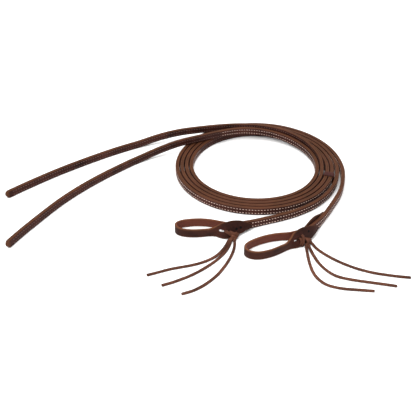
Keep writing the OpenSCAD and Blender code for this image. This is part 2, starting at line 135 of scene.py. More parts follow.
TAILS = {
    "left": [
        (-0.376, -0.221), (-0.363, -0.193), (-0.341, -0.151), (-0.318, -0.110), (-0.291, -0.071),
        (-0.263, -0.037), (-0.232, -0.004), (-0.200, 0.026, 0.0004, 0),
        (-0.166, 0.046, 0.0065, 0), (-0.130, 0.060, OVER, 0), (-0.095, 0.077, OVER, 0),
        (-0.059, 0.0935, OVER, 0),
    ],
    "right": [
        (-0.409, -0.089), (-0.393, -0.072), (-0.364, -0.043), (-0.335, -0.016), (-0.304, 0.010),
        (-0.272, 0.035), (-0.239, 0.0585), (-0.205, 0.079, 0.0006, 0), (-0.168, 0.094, 0.0065, 0),
        (-0.132, 0.1015, 0.012, 0), (-0.096, 0.109, OVER, 0), (-0.059, 0.117, OVER, 0),
        (-0.024, 0.121, OVER, 0), (0.011, 0.1185, OVER, 0),
    ],
}
LEADS = {
    "left": [
        (0.131, -0.057), (0.121, -0.078), (0.107, -0.098), (0.090, -0.116), (0.070, -0.131),
        (0.047, -0.144), (0.023, -0.154), (0, -0.1625), (-0.017, -0.1695, 0.0008, -8),
        (-0.027, -0.1745, 0.0024, -22), (-0.035, -0.1785, 0.0032, -30),
        (-0.044, -0.183, 0.0032, -30), (-0.053, -0.1875, 0.0032, -30),
    ],
    "right": [
        (0.150, -0.020), (0.147, -0.041), (0.142, -0.063), (0.135, -0.084), (0.127, -0.101),
        (0.118, -0.118), (0.1093, -0.134), (0.1008, -0.1485), (0.0918, -0.1632, 0.0006, -6),
        (0.0832, -0.1763, 0.0019, -17), (0.0746, -0.1868, 0.003, -27),
        (0.0668, -0.1938, 0.0032, -30), (0.0592, -0.2008, 0.0032, -30),
        (0.052, -0.2075, 0.0032, -30),
    ],
}
# First strand's place in the coil, first and last angle of the round part, descent angles
LAPS = {"left": (0, -15, 825, -35, 95), "right": (1, 20, 800, 12, 112)}

# Bit loop points are (x, y, height of the middle, lean, width), and only (x, y) where the
# plain strap stands upright
LOOPS = {
    "left": [
        (-0.050, -0.1762, 0.0071, -22, 0.014), (-0.058, -0.1726, 0.007, -10, 0.014),
        (-0.067, -0.169), (-0.077, -0.166), (-0.088, -0.1644), (-0.100, -0.1643),
        (-0.111, -0.1657), (-0.121, -0.1685), (-0.1275, -0.173), (-0.1294, -0.179),
        (-0.1265, -0.1854), (-0.1195, -0.1898), (-0.110, -0.192), (-0.099, -0.1924),
        (-0.088, -0.1914), (-0.077, -0.1898), (-0.068, -0.1894, 0.0086, 10, 0.017),
        (-0.060, -0.191, 0.0112, 24, 0.0236),
    ],
    "right": [
        (0.0526, -0.1962, 0.0071, -22, 0.014), (0.0445, -0.1988, 0.007, -10, 0.014),
        (0.036, -0.1998), (0.027, -0.2006), (0.017, -0.2028), (0.007, -0.206), (-0.003, -0.2104),
        (-0.012, -0.2156), (-0.0195, -0.2214), (-0.0252, -0.228), (-0.0264, -0.235),
        (-0.022, -0.2415), (-0.014, -0.245), (-0.004, -0.245), (0.007, -0.2416), (0.017, -0.2368),
        (0.026, -0.231), (0.035, -0.2248), (0.0415, -0.2198, 0.0086, 10, 0.017),
        (0.048, -0.2156, 0.0112, 24, 0.0236),
    ],
}
LOOP_UPRIGHT = (0.007, 0, 0.014)

# Leaf points are (distance back from the rein's end, width). The front ones are shares of
# the leaf's full width.
FRONT_LEAF = (
    (0, 1), (0.005, 1), (0.010, 0.98), (0.015, 0.93), (0.020, 0.84), (0.0255, 0.72),
    (0.031, 0.57), (0.037, 0.37), (0.043, 0.08),
)
BACK_LEAVES = {
    "left": ((0.015, 0.014), (0.020, 0.014), (0.0255, 0.014), (0.031, 0.011), (0.036, 0.005)),
    "right": (
        (0.015, 0.014), (0.020, 0.014), (0.0255, 0.014), (0.031, 0.015), (0.0375, 0.0165),
        (0.044, 0.0175), (0.052, 0.018), (0.060, 0.017), (0.068, 0.014), (0.077, 0.010),
        (0.0855, 0.005),
    ),
}

# Lace tail points are (x, y), from the knot to the cut end, for the upper tail, the middle
# one and the lower one
LACES = {
    "left": {
        "upper": [
            (-0.0490, -0.2032), (-0.0528, -0.213), (-0.0590, -0.2262), (-0.0690, -0.240),
            (-0.083, -0.251), (-0.100, -0.259), (-0.117, -0.264), (-0.134, -0.269),
            (-0.150, -0.2755), (-0.166, -0.282),
        ],
        "middle": [
            (-0.0455, -0.2030), (-0.0482, -0.213), (-0.0545, -0.229), (-0.0655, -0.2460),
            (-0.078, -0.260), (-0.092, -0.273), (-0.105, -0.283), (-0.118, -0.291),
            (-0.131, -0.298), (-0.144, -0.3035),
        ],
        "lower": [
            (-0.0402, -0.2008), (-0.0405, -0.212), (-0.043, -0.228), (-0.0485, -0.245),
            (-0.056, -0.262), (-0.066, -0.280), (-0.077, -0.294), (-0.089, -0.306),
            (-0.102, -0.315), (-0.116, -0.321),
        ],
    },
    "right": {
        "upper": [
            (0.0734, -0.2082), (0.080, -0.222), (0.090, -0.235), (0.103, -0.248),
            (0.118, -0.2595), (0.134, -0.269), (0.152, -0.2765), (0.169, -0.281),
            (0.186, -0.2845), (0.203, -0.287),
        ],
        "middle": [
            (0.0686, -0.2124), (0.0705, -0.224), (0.074, -0.240), (0.0795, -0.257),
            (0.088, -0.272), (0.100, -0.284), (0.118, -0.291), (0.139, -0.296),
            (0.160, -0.3005), (0.180, -0.305),
        ],
        "lower": [
            (0.0650, -0.2164), (0.0650, -0.230), (0.065, -0.246), (0.066, -0.262),
            (0.0685, -0.278), (0.074, -0.291), (0.084, -0.3025), (0.102, -0.3095),
            (0.124, -0.3125), (0.147, -0.315),
        ],
    },
}


def smooth(t):
    t = min(max(t, 0.0), 1.0)
    return t * t * (3 - 2 * t)


def gap(p, q):
    return math.dist(p[:2], q[:2])


def combine(*terms):
    """The weighted sum of some points, each term a (weight, point)."""
    return tuple(sum(w * p[i] for w, p in terms) for i in range(len(terms[0][1])))


def slope(points, i):
    """A route's slope at point i, weighted by the distances to its neighbours."""
    if i == 0 or i == len(points) - 1:
        a, b = (points[0], points[1]) if i == 0 else (points[-2], points[-1])
        return combine((1 / gap(a, b), b), (-1 / gap(a, b), a))
    a, b = gap(points[i - 1], points[i]), gap(points[i], points[i + 1])
    return combine(
        (a / b / (a + b), points[i + 1]), ((b / a - a / b) / (a + b), points[i]),
        (-b / a / (a + b), points[i - 1]))


def curve(points, parts):
    """A smooth curve through points, with parts steps from each to the next."""
    found = []
    for i in range(len(points) - 1):
        d, m, n = gap(points[i], points[i + 1]), slope(points, i), slope(points, i + 1)
        for k in range(parts):
            t = k / parts
            s, c = t * t, t * t * t
            found.append(combine(
                (2 * c - 3 * s + 1, points[i]), (d * (c - 2 * s + t), m),
                (3 * s - 2 * c, points[i + 1]), (d * (c - s), n)))
    return found + [points[-1]]


def coil_place(q, first):
    """A strand's place in the coil, counted from the innermost, at q degrees of travel."""
    moved = sum(smooth((q - MOVE_FROM - lap) / MOVE_OVER) for lap in (0, 360))
    return first + 2 * moved


def coil_point(q, first, down_from, down_to):
    lap = math.floor((q - TIE_AT) / 360 + 0.5)
    near = smooth((TIE_FLAT + TIE_FADE - abs(q - 360 * lap - TIE_AT)) / TIE_FADE)
    nudge = -1 if lap < 0 else 1 if lap > 0 else 0.2 if first == 0 else -0.2
    r = COIL_RADIUS + COIL_PITCH * coil_place(q, first) + nudge * MM * near
    z = OVER * (1 - smooth((q - down_from) / (down_to - down_from)))
    z += TIE_LIFT * near if lap == 0 else 0
    return (r * math.sin(math.radians(q)), r * math.cos(math.radians(q)), z, 0)


def filled(points, rest):
    """Points of full length, with rest added to each that gives only its x and y."""
    return [p if len(p) > 2 else p + rest for p in points]


def rein_route(side):
    """A rein from its free tip, round the coil, to its end under the leaf of the bit loop."""
    first, start, stop, down_from, down_to = LAPS[side]
    laps = [coil_point(q, first, down_from, down_to)
            for q in range(start, stop + 1, COIL_STEP)]
    floor = (0, 0)
    route = curve(filled(TAILS[side], floor) + laps + filled(LEADS[side], floor), 8)
    return [(x, y, max(z, 0), lean) for x, y, z, lean in route]


def stations(route):
    """Distance along a route at each of its points."""
    found = [0.0]
    for p, q in zip(route, route[1:]):
        found.append(found[-1] + math.dist(p[:3], q[:3]))
    return found


def at_distances(route, distances):
    """The route's points at some distances along it, in rising order."""
    along, found, i = stations(route), [], 0
    for s in distances:
        while i < len(route) - 2 and along[i + 1] < s:
            i += 1
        t = (s - along[i]) / max(along[i + 1] - along[i], 1e-9)
        found.append(combine((1 - t, route[i]), (t, route[i + 1])))
    return found


def eased(route, passes):
    """The route with its small wobbles evened out, and its ends left in place."""
    for _ in range(passes):
        route = [route[0]] + [
            combine((0.25, a), (0.5, b), (0.25, c))
            for a, b, c in zip(route, route[1:], route[2:])] + [route[-1]]
    return route


def evenly(route, step):
    """The route as points about one step apart, and the true step."""
    length = stations(route)[-1]
    count = max(2, round(length / step))
    return at_distances(route, [length * i / count for i in range(count + 1)]), length / count


class Section:
    """A place on a strap: its middle, the way across the face, the way up it, the way along."""

    def __init__(self, middle, heading, lean, along):
        c, s = math.cos(heading), math.sin(heading)
        cl, sl = math.cos(math.radians(lean)), math.sin(math.radians(lean))
        self.middle = Vector(middle)
        self.across = Vector((-s * cl, c * cl, -sl))
        self.up = Vector((-s * sl, c * sl, cl))
        self.distance = along

    def at(self, n, v):
        return self.middle + self.across * n + self.up * v


def sections(route, rise):
    """A section at each point of a route, whose third number is the height less rise."""
    along, found = stations(route), []
    for i, p in enumerate(route):
        a, b = route[max(i - 1, 0)], route[min(i + 1, len(route) - 1)]
        heading = math.atan2(b[1] - a[1], b[0] - a[0])
        middle = COIL_CENTRE + Vector((p[0], p[1], p[2] + rise))
        found.append(Section(middle, heading, p[3], along[i]))
    return found


# ---------------------------------------------------------------- meshes


def swept(name, rings, along):
    """A closed strap through rings of points. Its map gives metres along and metres round."""
    count, around = len(rings), len(rings[0])
    vertices = [p for ring in rings for p in ring]
    faces = []
    for i in range(count - 1):
        for j in range(around):
            k = (j + 1) % around
            a, b = i * around, (i + 1) * around
            faces.append((a + j, b + j, b + k, a + k))
    faces.append(tuple(range(around)))
    faces.append(tuple((count - 1) * around + j for j in reversed(range(around))))
    mesh = bpy.data.meshes.new(name)
    mesh.from_pydata(vertices, [], faces)
    layer = mesh.uv_layers.new(name="strap")
    middle = rings[count // 2]
    girth = [0.0]
    for j in range(around):
        girth.append(girth[-1] + (middle[(j + 1) % around] - middle[j]).length)
    for polygon in mesh.polygons:
        corners = [mesh.loops[k].vertex_index for k in polygon.loop_indices]
        closing = {0, around - 1} <= {c % around for c in corners}
        for k, c in zip(polygon.loop_indices, corners):
            j = c % around
            j = around if closing and j == 0 else j
            layer.data[k].uv = (along[c // around], girth[j])
    piece = bpy.data.objects.new(name, mesh)
    bpy.context.scene.collection.objects.link(piece)
    for polygon in mesh.polygons:
        polygon.use_smooth = True
    return piece


def add_edge_mask(piece, edge_of):
    """Stores how much of an edge each vertex is, from 0 on a face to 1 on an edge."""
    mask = piece.data.attributes.new("edge", "FLOAT", "POINT")
    mask.data.foreach_set("value", edge_of)


def ply_profile(thickness, width, outer, dip):
    """Half of a sewn strap's cross-section: (across, up, edge mask). The sewn face has a shallow
    groove at each row of stitches, as deep as dip, and the glued face is flat."""
    h, row = width / 2, width / 2 - sizes().stitch_inset
    crown = 0.02 * thickness
    half = [
        (0.05 * MM, 0.95 * h, 0.5), (0.14 * thickness, 0.995 * h, 0.9),
        (0.4 * thickness, 1.008 * h, 1), (0.64 * thickness, 0.99 * h, 0.9),
        (0.81 * thickness, 0.95 * h, 0.5), (0.93 * thickness, 0.89 * h, 0.15),
        (thickness, 0.79 * h, 0),
        (thickness, row + 0.9 * MM, 0), (thickness - 0.6 * dip, row + 0.45 * MM, 0),
        (thickness - dip, row, 0), (thickness - 0.6 * dip, row - 0.45 * MM, 0),
        (thickness, row - 0.9 * MM, 0), (thickness + crown, 0.35 * row, 0),
    ]
    whole = half + [(n, -v, e) for n, v, e in reversed(half)]
    if outer:
        return whole
    return [(-n, v, e) for n, v, e in reversed(whole)]


def tip_stations(length, step, round_end):
    """Distances along a rein, close together where its tip rounds off."""
    tip = [round_end * (1 - math.cos(math.radians(a))) for a in range(0, 91, 10)]
    count = round((length - round_end) / step)
    rest = [round_end + (length - round_end) * i / count for i in range(1, count + 1)]
    return tip + rest


def rein_sections(side):
    """Sections along a rein, two to a stitch, and how much of the height each one has."""
    route = eased(evenly(rein_route(side), 2 * MM)[0], 12)
    half = sizes().strap_width / 2
    distances = tip_stations(stations(route)[-1], sizes().stitch_pitch / 2, half)
    places = sections(at_distances(route, distances), half)
    shares = []
    for place in places:
        left = max(0.0, 1 - place.distance / half)
        shares.append(max(0.06, math.sqrt(max(0.0, 1 - left * left))))
    return places, shares


REINS = {}


def rein(side):
    """The sections of a rein, worked out once."""
    if side not in REINS:
        REINS[side] = rein_sections(side)
    return REINS[side]


def wobble(place, seed, size):
    """A slow unevenness of hand-cut leather, in metres."""
    return size * noise.noise(Vector((place.distance * 22, seed, 0.5)))


def make_ply(side, outer):
    places, shares = rein(side)
    s = sizes()
    rings, mask = [], []
    seed = (3.1 if side == "left" else 7.7) + (1.9 if outer else 0)
    for i, (place, share) in enumerate(zip(places, shares)):
        hole = i % 2 == 1 and place.distance > s.strap_width
        dip = 0.65 * MM if hole else 0.35 * MM
        profile = ply_profile(s.ply_thickness, s.strap_width, outer, dip * share)
        lift = wobble(place, seed, 0.1 * MM)
        thin = min(1, 0.72 + 0.28 * share)
        rings.append([
            place.at(n * thin, v * share + (lift if v > 0 else 0)) for n, v, _ in profile])
        worn_tip = 0.85 * smooth(1.4 - place.distance / (5 * MM))
        mask += [max(e, worn_tip) for _, _, e in profile]
    name = f"{side}_rein_{'outer' if outer else 'inner'}_ply"
    piece = swept(name, rings, [place.distance for place in places])
    add_edge_mask(piece, mask)
    return piece


# ---------------------------------------------------------------- modelling by operator


def only(piece):
    """Makes piece the one selected and active object."""
    bpy.ops.object.select_all(action="DESELECT")
    piece.select_set(True)
    bpy.context.view_layer.objects.active = piece


def newest(name):
    """Names the object that an operator has just added, and its mesh."""
    piece = bpy.context.object
    piece.name = name
    piece.data.name = name
    return piece


def settle(piece):
    """Puts a piece's place into its mesh, so that its object sits at the origin."""
    only(piece)
    bpy.ops.object.transform_apply(location=True, rotation=True, scale=True)
    return piece


def modify(piece, kind, **settings):
    """Adds a modifier with some settings and applies it."""
    only(piece)
    modifier = piece.modifiers.new(kind.title(), kind)
    for key, value in settings.items():
        setattr(modifier, key, value)
    bpy.ops.object.modifier_apply(modifier=modifier.name)


def in_edit(piece, *steps):
    """Runs some edit-mode steps on the whole of a piece."""
    only(piece)
    bpy.ops.object.mode_set(mode="EDIT")
    bpy.ops.mesh.select_all(action="SELECT")
    for step in steps:
        step()
    bpy.ops.object.mode_set(mode="OBJECT")


def choose(piece, wanted):
    """Selects the faces that are wanted, for an edit-mode step."""
    bpy.context.tool_settings.mesh_select_mode = (False, False, True)
    for parts in (piece.data.vertices, piece.data.edges):
        parts.foreach_set("select", [False] * len(parts))
    for polygon in piece.data.polygons:
        polygon.select = wanted(polygon)


def one_stitch():
    """One stitch, lying along X: a little roll of thread, fat in the middle."""
    s = sizes()
    bpy.ops.object.select_all(action="DESELECT")
    bpy.ops.mesh.primitive_uv_sphere_add(segments=6, ring_count=6, radius=1)
    stitch = newest("stitch")
    in_edit(
        stitch,
        lambda: bpy.ops.transform.rotate(
            value=math.pi / 2, orient_axis="Y", center_override=(0, 0, 0)),
        lambda: bpy.ops.transform.resize(
            value=(s.stitch_length / 2, 0.62 * MM, 0.42 * MM), center_override=(0, 0, 0)))
    return stitch


def thread_dirt_and_shade(place, distance):
    """How dark the thread is: grimy from handling along the tails, and painted shade between
    strands of the coil, lighter on the coil's innermost face.
    """
    from_middle = place - COIL_CENTRE
    r = math.hypot(from_middle.x, from_middle.y)
    inner, outer = COIL_RADIUS - 2 * MM, COIL_RADIUS + 3.3 * COIL_PITCH
    handled = 0.9 * smooth((0.50 - distance) / 0.10)
    if r > outer or from_middle.z > 20 * MM:
        return handled
    # painted shade on the thread: 0.35 on the coil's innermost face, 0.92 between its strands
    return max(handled, 0.35 if r < inner else 0.92)


def make_stitching(side, upper):
    """A row of stitches on both faces of a rein, each a copy of the one stitch."""
    s = sizes()
    stitch = one_stitch()
    shape = [v.co.copy() for v in stitch.data.vertices]
    shape_faces = [tuple(p.vertices) for p in stitch.data.polygons]
    bpy.data.objects.remove(stitch)
    places, _ = rein(side)
    row = (1 if upper else -1) * (s.strap_width / 2 - s.stitch_inset)
    stop = places[-1].distance - COVERED
    vertices, faces, thread_darkening = [], [], []
    for i, place in enumerate(places):
        if i % 2 or place.distance < 0.7 * s.strap_width or place.distance > stop:
            continue
        way = (places[i + 1].middle - places[i - 1].middle).normalized()
        for face in (1, -1):
            # each stitch's darkening: grime from handling on the tails, painted shade between
            # strands of the coil
            dirt_and_shade = thread_dirt_and_shade(place.at(face * s.ply_thickness, 0), place.distance)
            tilt = 0.12 * face + 0.25 * noise.noise(Vector((place.distance * 300, face, row)))
            middle = place.at(face * (s.ply_thickness - 0.14 * MM), row)
            along = (way + place.up * tilt).normalized()
            up = place.up - along * place.up.dot(along)
            first = len(vertices)
            vertices += [middle + along * c.x + up * c.y - place.across * c.z for c in shape]
            faces += [tuple(first + k for k in f) for f in shape_faces]
            thread_darkening += [dirt_and_shade] * len(shape)
    name = f"{side}_rein_{'upper' if upper else 'lower'}_stitching"
    mesh = bpy.data.meshes.new(name)
    mesh.from_pydata(vertices, [], faces)
    piece = bpy.data.objects.new(name, mesh)
    bpy.context.scene.collection.objects.link(piece)
    mesh.attributes.new("thread_darkening", "FLOAT", "POINT").data.foreach_set("value", thread_darkening)
    for polygon in mesh.polygons:
        polygon.use_smooth = True
    return piece


# ---------------------------------------------------------------- bit loops and laces

# The rein's end is under the leaf for COVERED. A leaf's middle is LEAF_OUT from the rein's,
# and its outer face is LEAF_FACE from it. The oiled colour of a leaf fades over LEAF_FADE.
COVERED = 0.045
LEAF_OUT = 0.0053
LEAF_FACE = 0.0069
LEAF_FADE = 0.01

# Lace holes: height above the rein's middle, distances back from its end, and each cutter's
# distance out, length, width and depth
HOLE_RISE = {"left": -0.0018, "right": 0.002}
HOLES_BACK = {"left": (0.0143, 0.0215), "right": (0.0045, 0.020)}
HOLE_OUT = 0.0074
HOLE_SIZE = (0.0044, 0.0040, 0.006)


def rein_end(side, back):
    """The rein's section at some distance back from its end."""
    places, _ = rein(side)
    target = places[-1].distance - back
    return min(places, key=lambda place: abs(place.distance - target))


def end_lean(place):
    return math.degrees(math.asin(-place.across.z))


def leaf_point(side, back, face, width):
    """A point on a leaf beside the rein. A leaf that is wider than the rein stands on the floor."""
    place = rein_end(side, back)
    p = place.at(LEAF_OUT * face, 0) - COIL_CENTRE
    lean = math.radians(end_lean(place))
    stands = width / 2 * math.cos(lean) + sizes().loop_thickness / 2 * abs(math.sin(lean))
    p += place.up * max(0, stands - p.z) / math.cos(lean)
    return (p.x, p.y, p.z, end_lean(place) * -face, width)


def loop_points(side):
    """A bit loop from its hidden end, round the eye, to the tip of its leaf."""
    behind = [leaf_point(side, back, -1, width) for back, width in BACK_LEAVES[side]]
    front = [leaf_point(side, back, 1, share * sizes().leaf_width) for back, share in FRONT_LEAF]
    return behind[::-1] + filled(LOOPS[side], LOOP_UPRIGHT) + front


def loop_profile(thickness):
    """A bit loop's cross-section: (across, share of half the width, inset from it, mask)."""
    t = thickness / 2
    half = [
        (0.55 * t, 0, 1), (0.86 * t, 0.25 * MM, 0.9), (t, 0.8 * MM, 0.55), (t, 1.7 * MM, 0.3),
        (t - 0.16 * MM, 2.2 * MM, 0.1), (t, 2.7 * MM, 0.05),
    ]
    front = [(n, 1, inset, e) for n, inset, e in half]
    front += [(n, -1, inset, e) for n, inset, e in reversed(half)]
    back = [(-n, -side, inset, e) for n, side, inset, e in front]
    return front + back


def make_bit_loop(side):
    """The bit loop's strap with its leaf, and masks of its inside face and of its leaf."""
    profile = loop_profile(sizes().loop_thickness)
    route = eased(evenly(curve(loop_points(side), 8), 1.2 * MM)[0], 6)
    places = sections([p[:4] for p in route], 0)
    rings, mask = [], []
    for place, point in zip(places, route):
        half = max(point[4] / 2, 0.6 * MM)
        fit = min(1, half / (4 * MM))
        ring = [place.at(n, side_of * (half - inset * fit))
                for n, side_of, inset, _ in profile]
        rings.append(ring)
        mask += [e for *_, e in profile]
    piece = swept(f"{side}_bit_loop", rings, [place.distance for place in places])
    add_edge_mask(piece, mask)
    flesh = piece.data.attributes.new("flesh_side", "FLOAT", "POINT")
    behind = BACK_LEAVES[side][-1][0] - BACK_LEAVES[side][0][0]
    stop = places[-1].distance - COVERED
    oiled = piece.data.attributes.new("oiled", "FLOAT", "POINT")
    eye = [min(smooth((p.distance - behind) / LEAF_FADE), smooth((stop - p.distance) / LEAF_FADE))
           for p in places]
    flesh.data.foreach_set("value", [
        share if n > 0 else 0.0 for share in eye for n, *_ in profile])
    oiled.data.foreach_set("value", [1 - share for share in eye for _ in profile])
    return piece


def end_matrix(side):
    """The frame of the rein's end: X onwards along the rein, Y up the face, Z out in front."""
    before, end = rein_end(side, 0.012), rein_end(side, 0)
    x = (end.middle - before.middle).normalized()
    y = (end.up - x * end.up.dot(x)).normalized()
    z = x.cross(y)
    if z.dot(end.across) < 0:
        z = -z
    turn = Matrix((x, y, z)).transposed().to_4x4()
    return Matrix.Translation(end.middle) @ turn


SLITS = {"left": (-0.058, -0.1916, 0.0116, 0), "right": (0.0502, -0.2139, 0.0118, 40)}
SLIT_TILT = 65
SLIT_SIZE = (0.0102, 0.0041, 0.012)


def slit_matrix(side):
    """The place of a bit loop's slit: X along it, Z through the leather."""
    *place, turn = SLITS[side]
    return (Matrix.Translation(COIL_CENTRE + Vector(place))
            @ Matrix.Rotation(math.radians(turn), 4, "Z")
            @ Matrix.Rotation(math.radians(SLIT_TILT), 4, "X"))


def hole_cutter(name, matrix, length, width, depth):
    """A slot-shaped cutter: a cylinder stretched along X by moving its vertices, standing on a
    face.
    """
    bpy.ops.object.select_all(action="DESELECT")
    bpy.ops.mesh.primitive_cylinder_add(vertices=24, radius=width / 2, depth=depth)
    cutter = newest(name)
    for v in cutter.data.vertices:
        v.co.x += math.copysign((length - width) / 2, v.co.x) if abs(v.co.x) > 1e-6 else 0
    cutter.matrix_world = matrix
    return settle(cutter)


def add_hole_shade_mask(piece, spots):
    """Marks the faces inside the lace holes, where the leather is painted near black as the shade
    of the deep holes.
    """
    reach = 3.7 * MM
    near = [min((v.co - spot).length for spot in spots) < reach for v in piece.data.vertices]
    mask = piece.data.attributes.new("hole", "FLOAT", "FACE")
    mask.data.foreach_set("value", [
        1.0 if all(near[v] for v in face.vertices) else 0.0 for face in piece.data.polygons])


def lace_ring(place, width, thickness):
    """A lace's rounded cross-section."""
    ring = []
    for k in range(12):
        a = -2 * math.pi * k / 12
        c, s = math.cos(a), math.sin(a)
        n = math.copysign(abs(c) ** 0.55, c) * width / 2
        v = math.copysign(abs(s) ** 0.6, s) * thickness / 2
        ring.append(place.at(n, v))
    return ring


class Free(Section):
    """A section of a lace, which turns in all directions."""

    def __init__(self, middle, way, up, distance):
        self.middle = middle
        self.across = up.cross(way).normalized()
        self.up = way.cross(self.across).normalized()
        self.distance = distance


def lace_sections(points, ups):
    """Sections along a lace through points in space, each with its flat side's direction."""
    joined = [tuple(p) + tuple(u) for p, u in zip(points, ups)]
    fine = eased(evenly(curve3(joined, 6), 1.6 * MM)[0], 3)
    found, distance = [], 0.0
    for i, p in enumerate(fine):
        a, b = Vector(fine[max(i - 1, 0)][:3]), Vector(fine[min(i + 1, len(fine) - 1)][:3])
        if i:
            distance += math.dist(fine[i - 1][:3], p[:3])
        up = Vector(p[3:]).normalized()
        found.append(Free(Vector(p[:3]), (b - a).normalized(), up, distance))
    return found


def curve3(points, parts):
    """A smooth curve through points in space, with parts steps from each to the next."""
    found = []
    for i in range(len(points) - 1):
        a, b, c, d = (points[min(max(k, 0), len(points) - 1)] for k in (i - 1, i, i + 1, i + 2))
        for k in range(parts):
            t = k / parts
            s, u = t * t, t * t * t
            found.append(combine(
                (-0.5 * u + s - 0.5 * t, a), (1.5 * u - 2.5 * s + 1, b),
                (-1.5 * u + 2 * s + 0.5 * t, c), (0.5 * u - 0.5 * s, d)))
    return found + [points[-1]]


# Lace on a leaf: X along the rein towards its end, Y up the face, Z out from the leaf's face
STRANDS = {
    "left": {
        "upper": [(-0.0040, -0.0065, -0.0035), (-0.0042, -0.0078, 0.0018),
                  (-0.0040, -0.0100, 0.0046), (-0.0032, -0.0125, 0.0040)],
        "middle": [(-0.0072, -0.0065, -0.0035), (-0.0072, -0.0080, 0.0020),
                   (-0.0067, -0.0102, 0.0050), (-0.0060, -0.0125, 0.0040)],
        "lower": [(-0.0115, -0.0060, -0.0035), (-0.0115, -0.0078, 0.0018),
                  (-0.0109, -0.0100, 0.0046), (-0.0100, -0.0125, 0.0040)],
    },
    "right": {
        "upper": [(-0.0152, -0.0066, -0.0035), (-0.0151, -0.0082, 0.0016),
                  (-0.0146, -0.0108, 0.0036), (-0.0134, -0.0134, 0.0030)],
        "middle": [(-0.0122, -0.0056, -0.0035), (-0.0122, -0.0072, 0.0018),
                   (-0.0118, -0.0100, 0.0044), (-0.0109, -0.0130, 0.0036)],
        "lower": [(-0.0086, -0.0036, -0.0035), (-0.0087, -0.0052, 0.0022),
                  (-0.0084, -0.0086, 0.0050), (-0.0080, -0.0122, 0.0040)],
    },
}
WRAPS = {
    "left": (
        [(0.0030, -0.0002, -0.0035), (0.0028, -0.0014, 0.0004), (0.0006, -0.0040, 0.0014),
         (-0.0020, -0.0076, 0.0016), (-0.0042, -0.0106, 0.0010), (-0.0050, -0.0118, -0.0020)],
        [(-0.0022, -0.0026, -0.0035), (-0.0026, -0.0034, 0.0008), (-0.0060, -0.0062, 0.0030),
         (-0.0100, -0.0088, 0.0060), (-0.0140, -0.0102, 0.0030), (-0.0158, -0.0110, -0.0010),
         (-0.0160, -0.0112, -0.0035)],
    ),
    "right": (
        [(-0.0050, 0.0030, -0.0035), (-0.0052, 0.0022, 0.0008), (-0.0044, -0.0010, 0.0022),
         (-0.0022, -0.0060, 0.0026), (-0.0004, -0.0104, 0.0018), (0.0002, -0.0126, -0.0006),
         (0.0002, -0.0130, -0.0040)],
        [(-0.0008, 0.0000, -0.0035), (-0.0008, -0.0010, 0.0006), (0.0006, -0.0046, 0.0016),
         (0.0022, -0.0088, 0.0008), (0.0026, -0.0104, -0.0035)],
    ),
}


def lace_points(side, which):
    """A lace from its hole, down the leaf, to its cut end: points, and the way out of each."""
    s = sizes()
    leaf = end_matrix(side)
    out = (leaf.to_3x3() @ Vector((0, 0, 1))).normalized()
    points = [leaf @ Vector((x, y, z + LEAF_FACE)) for x, y, z in STRANDS[side][which]]
    ups = [out] * len(points)
    z = s.lace_thickness / 2
    for k, (x, y) in enumerate(LACES[side][which]):
        lift = 0.9 * MM if k == 0 else 0
        points.append(COIL_CENTRE + Vector((x, y, z + lift)))
        ups.append(Vector((0, 0, 1)) if k else (Vector((0, 0, 1)) + out).normalized())
    return points, ups


def make_lace(name, points, ups, seed):
    s = sizes()
    places = lace_sections(points, ups)
    rings = []
    last = len(places) - 1
    for i, place in enumerate(places):
        swell = 1 + 0.1 * noise.noise(Vector((place.distance * 90, seed, 2.5)))
        twist = 0.06 * noise.noise(Vector((place.distance * 60, seed, 8.5)))
        trim = 0.93 if i in (0, last) else 1
        place.up = (place.up + place.across * twist).normalized()
        low = place.middle.z - s.lace_thickness * trim * 0.5
        ring = lace_ring(place, s.lace_width * swell * trim, s.lace_thickness * trim)
        if low < 0.3 * MM:
            ring = [Vector((p.x, p.y, max(p.z, 0))) for p in ring]
        rings.append(ring)
    piece = swept(name, rings, [place.distance for place in places])
    around = len(rings[0])
    add_edge_mask(piece, [
        abs(math.cos(2 * math.pi * k / around)) ** 3 for _ in rings for k in range(around)])
    return piece, places


# ---------------------------------------------------------------- materials


def new_material(name):
    material = bpy.data.materials.new(name)
    material.use_nodes = True
    material.node_tree.nodes.clear()
    return material, Tree(material.node_tree)


class Tree:
    """A node tree that is written left to right."""

    def __init__(self, tree):
        self.tree = tree
        self.column = 0

    def add(self, kind, inputs=None, **settings):
        node = self.tree.nodes.new(kind)
        self.column += 1
        node.location = (180 * self.column, -40 * (self.column % 7))
        for key, value in settings.items():
            setattr(node, key, value)
        for key, value in (inputs or {}).items():
            socket = node.inputs[key]
            if isinstance(value, bpy.types.NodeSocket):
                self.tree.links.new(value, socket)
            else:
                socket.default_value = value
        return node

    def math(self, operation, a, b=0.5, clamp=False):
        node = self.add("ShaderNodeMath", {0: a, 1: b}, operation=operation, use_clamp=clamp)
        return node.outputs[0]

    def mix(self, factor, a, b, blend="MIX"):
        node = self.add("ShaderNodeMix", data_type="RGBA", blend_type=blend)
        for socket, value in ((node.inputs[0], factor), (node.inputs[6], a), (node.inputs[7], b)):
            if isinstance(value, bpy.types.NodeSocket):
                self.tree.links.new(value, socket)
            else:
                socket.default_value = value
        return node.outputs[2]

    def ramp(self, value, low, high):
        """Value stretched so that low becomes 0 and high becomes 1."""
        return self.add("ShaderNodeMapRange", {0: value, 1: low, 2: high}).outputs[0]


def rgba(colour):
    return (*colour, 1)


